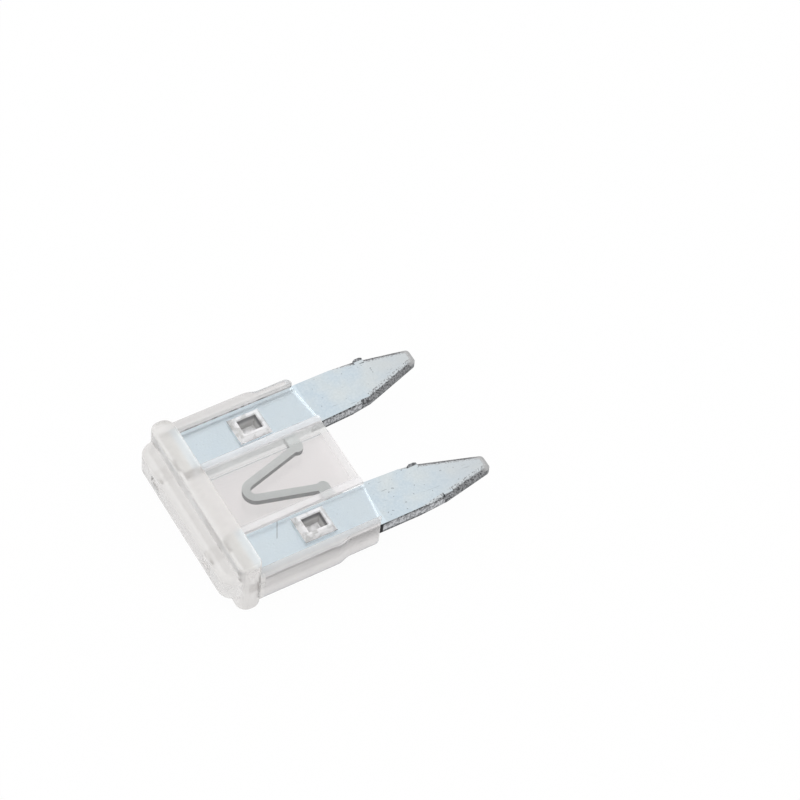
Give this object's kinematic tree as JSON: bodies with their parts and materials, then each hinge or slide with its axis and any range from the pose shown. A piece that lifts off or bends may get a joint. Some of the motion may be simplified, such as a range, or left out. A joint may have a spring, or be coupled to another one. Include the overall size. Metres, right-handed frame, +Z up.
{
  "type": "automotive blade fuse",
  "caption": "Mini blade fuse with a clear moulded housing, two tapered flat blades and a V-shaped fuse link that shows through the web.",
  "frame": {"origin": "under the middle of the whole fuse, on the surface that the head's collar lies on", "axes": "+X along the blades towards their tips, +Y across both blades, +Z up through the thickness"},
  "size_m": [0.0164, 0.011, 0.0036],
  "materials": {
    "clear_plastic": "clear, glossy, as moulded",
    "zinc_alloy": "plated zinc alloy, satin, with a few small pits; sheared edges darker"
  },
  "bodies": {
    "root": {"housing": "clear_plastic", "fuse_element": "zinc_alloy"}
  },
  "joints": []
}
